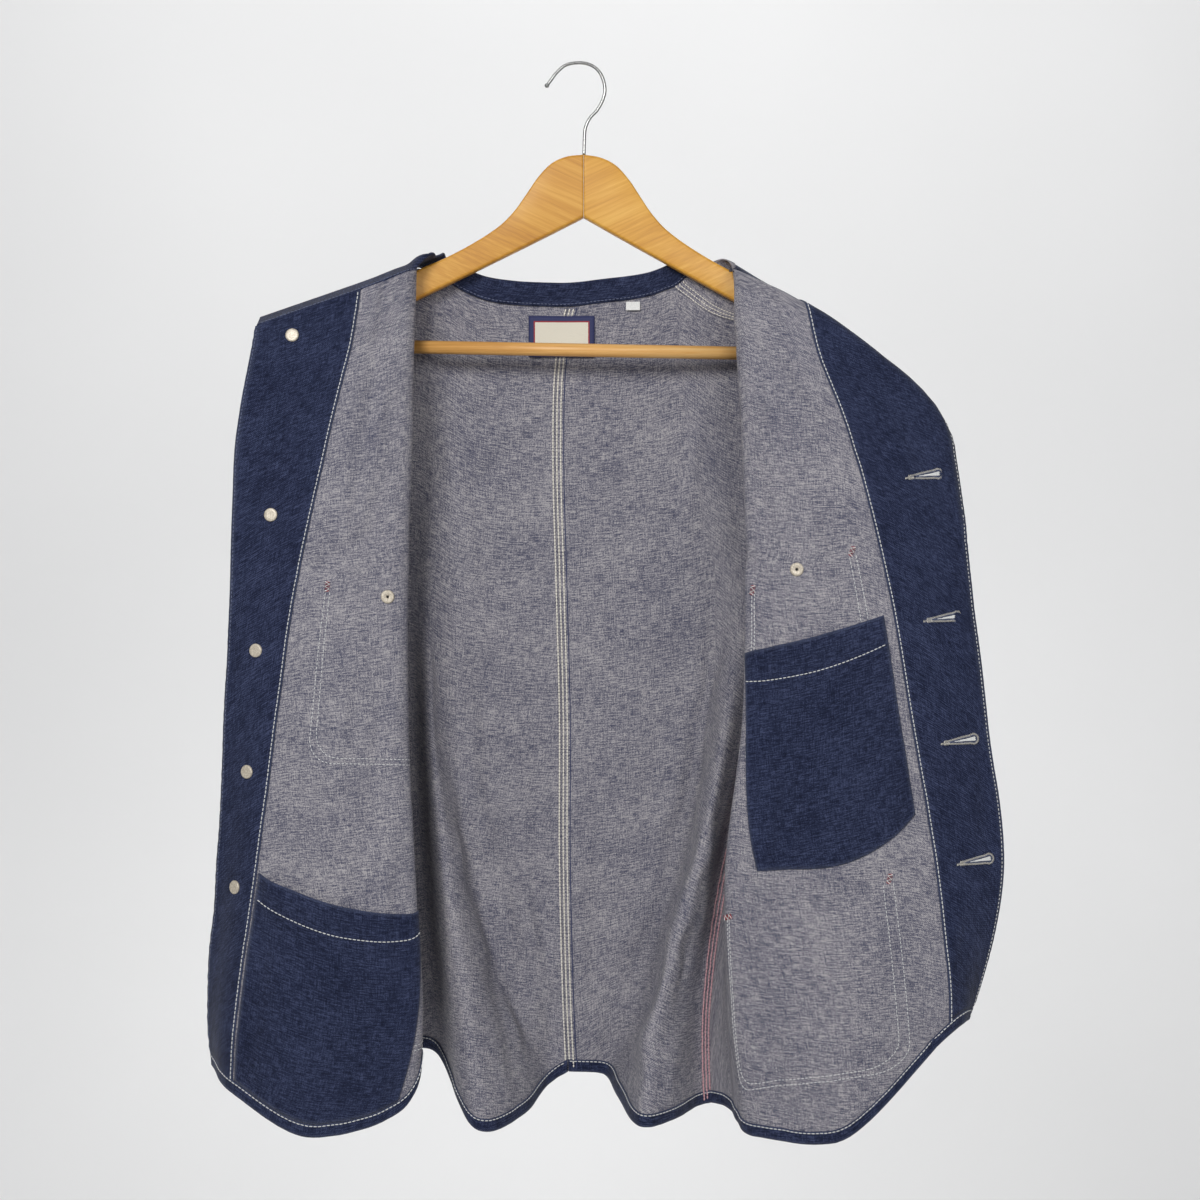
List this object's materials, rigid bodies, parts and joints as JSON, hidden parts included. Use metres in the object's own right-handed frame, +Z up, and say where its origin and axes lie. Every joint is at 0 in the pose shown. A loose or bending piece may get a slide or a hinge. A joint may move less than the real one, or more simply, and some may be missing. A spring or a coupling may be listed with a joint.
{
  "type": "denim chore jacket on hanger",
  "caption": "Collarless denim work jacket on a wooden hanger, both fronts thrown open so that the facings, inner pockets and inside back show.",
  "frame": {"origin": "inside top of the hanger hook, where it rests on whatever holds it up", "axes": "+Z up, +X to the viewer's right, +Y away from the viewer, so the open side faces -Y"},
  "size_m": [0.703, 0.1361, 0.9689],
  "materials": {
    "denim_wrong_side": "twill, pale wrong side with blue and white yarns, matte",
    "denim_dark": "indigo twill right side, matte",
    "tack_back": "cream coated, satin",
    "button_metal": "aged, satin",
    "label_cloth": "woven, matte",
    "tag_cloth": "woven satin",
    "hanger_wood": "clear satin varnish",
    "hanger_wood_pale": "clear satin varnish",
    "bar_wood": "clear satin varnish",
    "hook_wire": "bright wire"
  },
  "bodies": {
    "root": {"back_right": "denim_wrong_side", "back_left": "denim_wrong_side", "front_right": "denim_wrong_side", "front_left": "denim_wrong_side", "facing_right": "denim_dark", "facing_left": "denim_dark", "hem_back_right": "denim_dark", "hem_back_left": "denim_dark", "hem_front_right": "denim_dark", "hem_front_left": "denim_dark", "neck_band": "denim_dark", "neck_band_left": "denim_dark", "chest_pocket_left": "denim_dark", "hip_pocket_left": "denim_dark", "inner_pocket_left": "denim_dark", "chest_pocket_right": "denim_dark", "hip_pocket_right": "denim_dark", "inner_pocket_right": "denim_dark", "sleeve_right": "denim_dark", "sleeve_left": "denim_dark", "cuff_right": "denim_dark", "cuff_left": "denim_dark", "tack_1": "tack_back", "tack_2": "tack_back", "tack_3": "tack_back", "tack_4": "tack_back", "tack_5": "tack_back", "pocket_tack_right": "tack_back", "pocket_tack_left": "tack_back", "button_1": "button_metal", "button_2": "button_metal", "button_3": "button_metal", "button_4": "button_metal", "button_5": "button_metal", "pocket_button_right": "button_metal", "pocket_button_left": "button_metal", "neck_label": "label_cloth", "size_tag": "tag_cloth", "hanger_arm_right": "hanger_wood", "hanger_arm_left": "hanger_wood_pale", "trouser_bar": "bar_wood", "hanger_hook": "hook_wire"}
  },
  "joints": []
}
